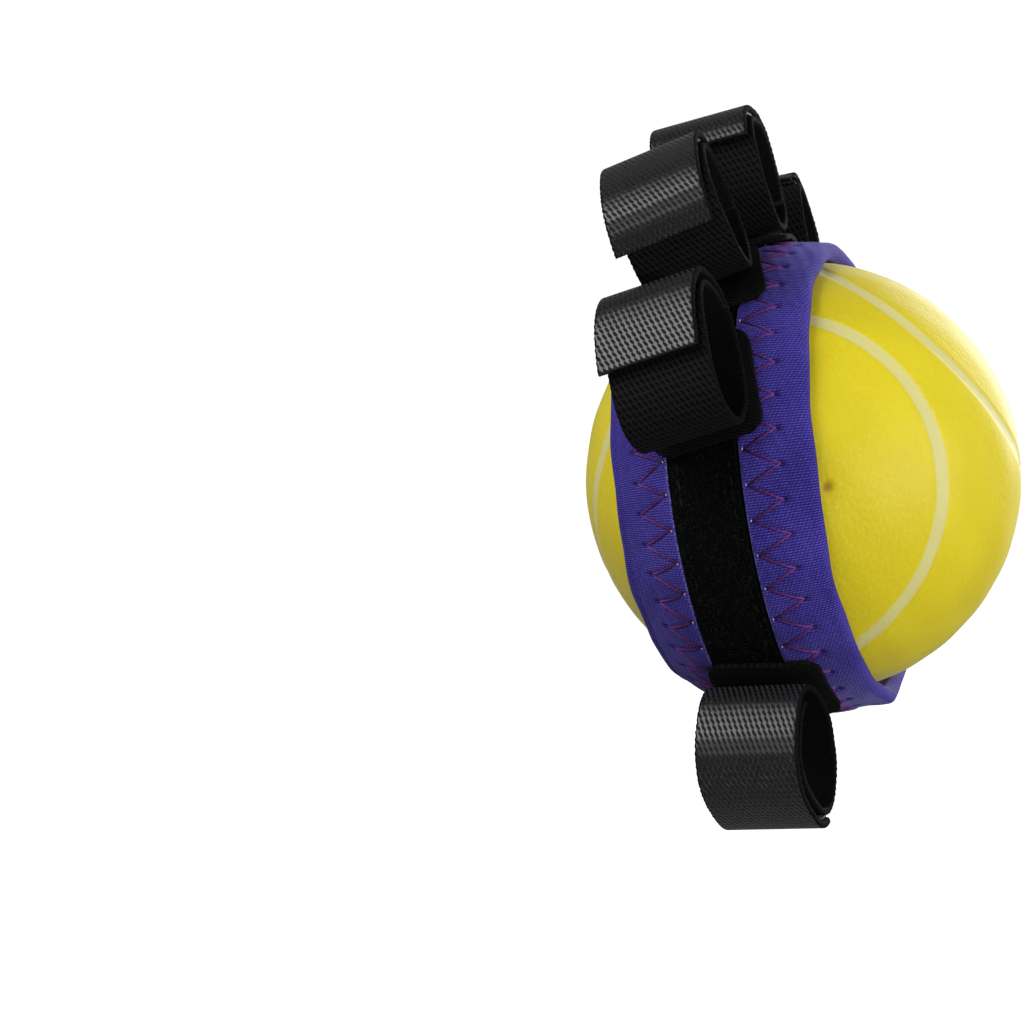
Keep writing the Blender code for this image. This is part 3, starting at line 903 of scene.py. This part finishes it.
def add_join_stitch(material):
    """Two rows of sewing that close the band into a ring, on the far side."""
    first, last = STRIP_PALM_EDGE - 6.8 * MM, BAND_PALM_EDGE + 2.4 * MM
    half = math.degrees(JOIN_WIDTH / 2 / BALL_RADIUS)
    x = np.linspace(first, last, 12)
    out = on_band(x, JOIN_ANGLE - half, hem_at(x))
    back = on_band(x[::-1], JOIN_ANGLE + half, hem_at(x[::-1]))
    path = np.concatenate([out, back])
    add_stitches("band_join_sewing", path, 1.9 * MM, material, "band", "zigzag_thread", "band_join_stitch")


# ---------------------------------------------------------------- strip


def add_strip(material):
    """The pile strip: a low crown between two shallow sewn grooves, with an uneven nap."""
    palm, finger = STRIP_PALM_EDGE + 0.3 * MM, STRIP_FINGER_EDGE - 0.3 * MM
    x = np.linspace(palm, finger, 48)
    from_sewing = np.minimum(np.abs(x - palm - 1.3 * MM), np.abs(x - finger + 1.3 * MM))
    groove = 0.22 * MM * hump(from_sewing, 0.35 * MM)
    share = (x - STRIP_PALM_EDGE) / (STRIP_FINGER_EDGE - STRIP_PALM_EDGE)
    flat = float(hem_at(STRIP_PALM_EDGE)) * (1 - share) + float(hem_at(STRIP_FINGER_EDGE)) * share
    top = np.stack([x, flat - groove], axis=-1)
    bottom = np.stack([x[::-1], flat[::-1] - STRIP_THICKNESS], axis=-1)
    outline = softened(even_outline(np.concatenate([top, bottom]), 0.25 * MM), 1)
    steps = 720
    angle = np.linspace(0.0, 360.0, steps, endpoint=False)[:, None]
    turn = np.radians(angle)
    on_top = smooth_step((outline[:, 1] - np.interp(outline[:, 0], x, flat) + 0.7 * MM) / (0.5 * MM))
    nap = RANDOM.normal(0.0, 0.035 * MM, (steps, len(outline))) * on_top
    waves = 0.05 * MM * np.sin(13 * turn + outline[:, 0] / MM * 0.8) * on_top
    rings = on_band(outline[:, 0], angle, outline[:, 1] + nap + waves)
    strip = skin("pile_strip_nap", rings, [material], closed=True)
    finish_piece(strip, "band", "pile", "pile_strip")


def add_strip_sewing(material):
    """The two straight rows that sew the strip down, sunk in its nap."""
    for label, edge, side in (("palm", STRIP_PALM_EDGE, 1), ("finger", STRIP_FINGER_EDGE, -1)):
        x = edge + side * 1.6 * MM
        angle = np.linspace(0.0, 360.0, 240, endpoint=False)
        path = on_band(x, angle, float(outer_at(x)) - 0.3 * MM)
        name, node = f"strip_sewing_{label}_side", f"strip_stitch_{label}_side"
        add_stitches(name, path, 2.1 * MM, material, "band", "black_thread", node)


def add_fibres(name, centres, outward, sideways, spread, length, radius, material, body, slot_name):
    """Small arched three-sided fibres that stand on a face."""
    count = len(centres)
    heading = RANDOM.uniform(0, 2 * math.pi, count)
    forward = np.cross(outward, sideways)
    direction = np.cos(heading)[:, None] * sideways + np.sin(heading)[:, None] * forward
    bend = np.cross(outward, direction)
    reach = RANDOM.uniform(0.5, 1.0, count)[:, None] * length
    curl = RANDOM.uniform(-0.6, 0.6, count)[:, None] * length
    t = np.linspace(-0.5, 0.5, 5)[:, None]
    lines = (
        centres[:, None]
        + direction[:, None] * t * reach[:, None]
        + bend[:, None] * t**2 * curl[:, None]
        + outward[:, None] * ((0.25 - t**2) * 4 * spread - 0.05 * MM)
    )
    tangents = unit(np.gradient(lines, axis=1))
    side = unit(np.cross(tangents, outward[:, None]))
    normal = np.cross(side, tangents)
    turn = np.radians((90.0, 210.0, 330.0))[:, None]
    spokes = np.sin(turn) * normal[:, :, None] + np.cos(turn) * side[:, :, None]
    points = lines[:, :, None] + radius * spokes
    size = len(t) * len(turn)
    start = np.arange(count)[:, None, None] * size
    walls = ring_quads(len(t), len(turn)) + start
    ends = np.array(((2, 1, 0), (size - 3, size - 2, size - 1))) + start
    faces = walls.reshape(-1, 4).tolist() + ends.reshape(-1, 3).tolist()
    fibres = add_mesh(name, points, faces, [material])
    finish_piece(fibres, body, slot_name)


def add_strip_fibres(material):
    """Loose loops of the pile that catch the light."""
    count = 5200
    angle = RANDOM.uniform(0.0, 360.0, count)
    x = RANDOM.uniform(STRIP_PALM_EDGE + 0.6 * MM, STRIP_FINGER_EDGE - 0.6 * MM, count)
    centres = on_band(x, angle, outer_at(x))
    outward = unit(centres * (0.0, 1.0, 1.0))
    sideways = np.tile((1.0, 0.0, 0.0), (count, 1))
    spread, length, radius = 0.11 * MM, 0.6 * MM, 0.05 * MM
    name = "pile_strip_fibres"
    add_fibres(name, centres, outward, sideways, spread, length, radius, material, "band", "pile")


# ---------------------------------------------------------------- finger loops


def tape_section(width, top, bottom):
    """(across, depth) of a flat tape's section with rounded edges, its outer face first, and the material of
    each part: 0 on the outer face, 1 on the edges and the inner face."""
    columns = 33
    edge = min(0.35 * MM, (bottom - top) / 2)
    half = width / 2 - edge
    across = np.linspace(-half, half, columns)
    turn = np.radians((60.0, 30.0, 0.0, -30.0, -60.0))
    middle = (top + bottom) / 2
    tall = (bottom - top) / 2
    right = np.stack([half + edge * np.cos(turn), middle - tall * np.sin(turn)], axis=-1)
    left = np.stack([-half - edge * np.cos(turn), middle + tall * np.sin(turn)], axis=-1)
    outer = np.stack([across, np.full(columns, top)], axis=-1)
    inner = np.stack([across[::-1], np.full(columns, bottom)], axis=-1)
    section = np.concatenate([outer, right, inner, left])
    parts = np.ones(len(section), int)
    parts[: columns - 1] = 0
    return section, parts


def add_tape(name, loop, first, last, top, bottom, width, materials, body, slot_name, node, step=0.3 * MM):
    """A flat tape along the loop's path, and its length. Its selvedge is scalloped by the knit."""
    section, parts = tape_section(width, top, bottom)
    turns, marks = loop.even_turns(first, last, step)
    edge_share = smooth_step((np.abs(section[:, 0]) - width / 2 + 0.9 * MM) / (0.9 * MM))
    scallop = 0.05 * MM * np.cos(2 * math.pi * marks / KNIT_ALONG)[:, None]
    ragged = RANDOM.normal(0.0, 0.02 * MM, (len(marks), 1))
    across = section[:, 0] + np.sign(section[:, 0]) * edge_share * (scallop + ragged)
    rings = loop.place(turns[:, None], section[:, 1], across)
    lengths = np.r_[0.0, np.cumsum(np.linalg.norm(np.diff(section, axis=0, append=section[:1]), axis=1))]
    tape = skin(name, rings, materials, band_slots=parts, u=lengths / MM, v=marks / MM)
    finish_piece(tape, body, slot_name, node)
    return tape, float(marks[-1])


def add_outer_layer(loop, materials):
    """The outer layer, from the base over the hinge line to the end of the pull tail."""
    tape, length = add_tape(
        f"{loop.name}_outer_layer", loop, 0.0, -180.0 - loop.tail, 0.0, STRAP_THICKNESS, STRAP_WIDTH,
        materials, None, "webbing", f"{loop.name}_pull_tail",
    )
    hinge = loop.hinge()
    ahead = loop.place(HINGE_ANGLE - 2.0, 0.0, 0.0) - loop.place(HINGE_ANGLE + 2.0, 0.0, 0.0)
    ahead = unit(ahead - loop.along * (ahead @ loop.along)) * 2.0 * MM
    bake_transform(tape)


def add_inner_layer(loop, materials):
    """The inner layer, from its free end inside the loop round the finger to the base."""
    tape, length = add_tape(
        f"{loop.name}_inner_layer", loop, INNER_END, 0.0, 0.0, STRAP_THICKNESS, STRAP_WIDTH,
        materials, f"{loop.name}_loop", "webbing", f"{loop.name}_strap",
    )


def add_tail_hooks(loop, material):
    """The hook patch under the pull tail."""
    top = STRAP_THICKNESS + LAYER_GAP * 0.4
    add_tape(
        f"{loop.name}_tail_hook_patch", loop, HINGE_ANGLE - HOOK_START, -178.0 - loop.tail, top,
        top + HOOK_THICKNESS, STRAP_WIDTH - 1.0 * MM, [material, material], f"{loop.name}_tail",
        "hook_tape", f"{loop.name}_tail_hooks", step=0.6 * MM,
    )


def add_tab(loop, materials):
    """The base tab: hook tape with rounded corners that follows the strip and the hems."""
    columns, rows = 61, 47
    u = np.linspace(-TAB_WIDTH / 2, TAB_WIDTH / 2, columns)
    v = np.linspace(-TAB_LENGTH / 2, TAB_LENGTH / 2, rows)
    uu, vv = np.meshgrid(u, v)
    corner = TAB_CORNER
    over_u = np.maximum(0.0, np.abs(uu) - TAB_WIDTH / 2 + corner)
    over_v = np.maximum(0.0, np.abs(vv) - TAB_LENGTH / 2 + corner)
    pull = np.hypot(over_u, over_v)
    shrink = np.where(pull > corner, corner / np.maximum(pull, 1e-9), 1.0)
    uu = np.sign(uu) * (np.abs(uu) - over_u * (1 - shrink))
    vv = np.sign(vv) * (np.abs(vv) - over_v * (1 - shrink))
    rim = np.maximum(np.abs(uu) / (TAB_WIDTH / 2), np.abs(vv) / (TAB_LENGTH / 2))
    droop = 0.18 * MM * smooth_step((rim - 0.8) / 0.2)
    weave = 0.03 * MM * np.sin(uu / MM * 7.0) * np.sin(vv / MM * 5.5)
    top = loop.tab_points(uu, vv, TAB_LIFT + TAB_THICKNESS - droop * 1.4 + weave)
    under = loop.tab_points(uu, vv, TAB_LIFT - droop)
    points = np.concatenate([under.reshape(-1, 3), top.reshape(-1, 3)])
    index = np.arange(rows * columns).reshape(rows, columns)
    sheet = np.stack([index[:-1, :-1], index[:-1, 1:], index[1:, 1:], index[1:, :-1]], axis=-1)
    sheet = sheet.reshape(-1, 4)
    border = np.concatenate([index[0, :-1], index[:-1, -1], index[-1, :0:-1], index[:0:-1, 0]])
    following, start = np.roll(border, -1), rows * columns
    wall = np.stack([border, border + start, following + start, following], axis=-1)
    faces = np.concatenate([sheet, sheet[:, ::-1] + start, wall])
    slots = np.r_[np.zeros(len(sheet), int), np.ones(len(sheet) + len(wall), int)]
    flat = np.tile(np.stack([uu, vv], axis=-1).reshape(-1, 2), (2, 1)) / MM
    uv = flat[faces].reshape(-1, 2)
    tab = add_mesh(f"{loop.name}_hook_tab_cloth", points, faces.tolist(), materials, slots, uv)
    finish_piece(tab, f"{loop.name}_loop", "hook_tape", f"{loop.name}_hook_tab")


def add_box_stitch(loop, material):
    """The box of stitches that holds the strap's base to its tab, inside the loop."""
    half_across, half_round = 3.0 * MM, 5.5 * MM
    corners = np.array(((-1, -1), (1, -1), (1, 1), (-1, 1), (-1, -1)), float) * (half_across, half_round)
    share = np.linspace(0, 1, 12, endpoint=False)[:, None]
    outline = np.concatenate([a + (b - a) * share for a, b in zip(corners, corners[1:])])
    half = loop.width / 2 - STRAP_THICKNESS
    share = np.minimum(1.0, np.abs(outline[:, 1]) / half) ** (BASE_ROUNDNESS / 2)
    turns = -np.copysign(np.degrees(np.arcsin(share)), outline[:, 1])
    path = loop.place(turns, STRAP_THICKNESS + THREAD_RADIUS * 0.6, outline[:, 0])
    name, node = f"{loop.name}_box_sewing", f"{loop.name}_box_stitch"
    add_stitches(name, path, 1.8 * MM, material, f"{loop.name}_loop", "black_thread", node)


def add_frays(loop, material):
    """Cut filaments that stick out of the pull tail's end."""
    count = 90
    end = -180.0 - loop.tail
    across = RANDOM.uniform(-STRAP_WIDTH / 2, STRAP_WIDTH / 2, count)
    depth = RANDOM.uniform(0.1 * MM, STRAP_THICKNESS - 0.1 * MM, count)
    centres = loop.place(np.full(count, end), depth, across)
    ahead = unit(loop.place(end - 1.0, 0.0, 0.0) - loop.place(end + 1.0, 0.0, 0.0))
    outward = np.tile(ahead, (count, 1))
    sideways = np.tile(loop.along, (count, 1))
    name, body = f"{loop.name}_tail_frays", f"{loop.name}_tail"
    spread, length, radius = 0.12 * MM, 0.5 * MM, 0.03 * MM
    add_fibres(name, centres, outward, sideways, spread, length, radius, material, body, "webbing")


def add_loop(loop, paints):
    add_tab(loop, [paints["hook"], paints["felt"]])
    add_inner_layer(loop, [paints["dull_knit"], paints["felt"]])
    add_outer_layer(loop, [paints["knit"], paints["felt"]])
    add_tail_hooks(loop, paints["hook"])
    add_box_stitch(loop, paints["black_thread"])
    add_frays(loop, paints["fibre"])


# ---------------------------------------------------------------- studio


def camera_axes():
    """The camera's right, up and backward directions, as rows, in the object's frame."""
    azimuth, roll = math.radians(VIEW_AZIMUTH), math.radians(VIEW_ROLL)
    across = math.cos(azimuth)
    band_axis = Vector((across * math.cos(roll), across * math.sin(roll), math.sin(azimuth)))
    upright = Vector((-math.sin(roll), math.cos(roll), 0.0))
    depth = band_axis.cross(upright)
    return Matrix((band_axis, -depth, upright)).transposed()


def add_camera():
    axes = camera_axes()
    data = bpy.data.cameras.new("studio_camera")
    data.lens, data.sensor_width = LENS, SENSOR
    data.clip_start, data.clip_end = 0.01, 20.0
    camera = bpy.data.objects.new("studio_camera", data)
    bpy.context.scene.collection.objects.link(camera)
    toward = Vector((math.tan(math.radians(BALL_RIGHT)), math.tan(math.radians(BALL_UP)), -1.0)).normalized()
    world = axes.transposed().to_4x4()
    world.translation = -(axes.transposed() @ toward) * VIEW_DISTANCE
    camera.matrix_world = world
    bpy.context.scene.camera = camera


def add_softbox(name, direction, distance, size, energy):
    """A rectangular light. direction is (right, up, toward the camera) from the ball's centre."""
    data = bpy.data.lights.new(name, "AREA")
    data.shape = "RECTANGLE"
    data.size, data.size_y = size
    data.energy = energy
    light = bpy.data.objects.new(name, data)
    bpy.context.scene.collection.objects.link(light)
    place = camera_axes().transposed() @ Vector(direction).normalized() * distance
    light.location = place
    light.rotation_euler = place.to_track_quat("Z", "Y").to_euler()


def add_world():
    """White all round to look at. It lights from behind the object more than from the camera's side."""
    world = bpy.data.worlds.new("studio_white")
    world.use_nodes = True
    tree = world.node_tree
    background = tree.nodes["Background"]
    background.inputs["Color"].default_value = (1.0, 1.0, 1.0, 1.0)
    direction = tree.nodes.new("ShaderNodeTexCoord").outputs["Generated"]
    split = tree.nodes.new("ShaderNodeSeparateXYZ")
    tree.links.new(direction, split.inputs[0])
    lighting = tree.nodes.new("ShaderNodeMapRange")
    tree.links.new(split.outputs["Y"], lighting.inputs["Value"])
    span = {"From Min": 0.0, "From Max": 1.0, "To Min": FRONT_LIGHT, "To Max": BACK_LIGHT}
    for socket, value in span.items():
        lighting.inputs[socket].default_value = value
    strength = tree.nodes.new("ShaderNodeMix")
    tree.links.new(tree.nodes.new("ShaderNodeLightPath").outputs["Is Camera Ray"], strength.inputs[0])
    tree.links.new(lighting.outputs["Result"], strength.inputs[2])
    strength.inputs[3].default_value = BACKDROP
    tree.links.new(strength.outputs[0], background.inputs["Strength"])
    bpy.context.scene.world = world


def add_studio():
    add_world()
    for softbox in SOFTBOXES:
        add_softbox(*softbox)
    low, half = cad_box[0][2] - FLOOR_DROP, FLOOR_SIZE / 2
    corners = [(x * half, y * half, low) for x, y in ((-1, -1), (1, -1), (1, 1), (-1, 1))]
    mesh = bpy.data.meshes.new("floor")
    mesh.from_pydata(corners, [], [(0, 1, 2, 3)])
    mesh.materials.append(floor_material())
    floor = bpy.data.objects.new("floor", mesh)
    bpy.context.scene.collection.objects.link(floor)
    bpy.context.scene.view_settings.view_transform = "Standard"


def main():
    add_camera()
    add_studio()
    # each thread gets a shaded colour and a lit colour, for the painted shade and light along it
    magenta = thread_material("zigzag_thread_twist", (0.085, 0.011, 0.085), (0.27, 0.06, 0.33))
    black = thread_material("black_thread_twist", (0.0025, 0.0028, 0.0028), (0.010, 0.011, 0.011))
    pale = thread_material("bobbin_thread_twist", (0.5, 0.42, 0.6), (0.62, 0.55, 0.72))
    felt = felt_material()
    paints = {
        # the last colour of each knit is the painted highlight on its filaments
        "knit": knit_material("tape_knit", 0.22, 0.68, (0.0055, 0.006, 0.0072)),
        "dull_knit": knit_material("tape_knit_dull", 0.7, 0.12, (0.011, 0.0115, 0.012)),
        "felt": felt, "hook": hook_material(),
        "fibre": fibre_material(), "black_thread": black,
    }
    add_ball(foam_material())
    add_band(neoprene_material())
    pile = pile_material()
    add_strip(pile)
    add_strip_fibres(paints["fibre"])
    add_zigzag("zigzag_sewing_palm_side", STRIP_PALM_EDGE, -1, magenta, "zigzag_thread_palm_side")
    add_zigzag("zigzag_sewing_finger_side", STRIP_FINGER_EDGE, 1, magenta, "zigzag_thread_finger_side")
    add_specks(pale)
    add_strip_sewing(black)
    add_join_stitch(magenta)
    for finger in FINGERS:
        add_loop(Loop(*finger), paints)


main()
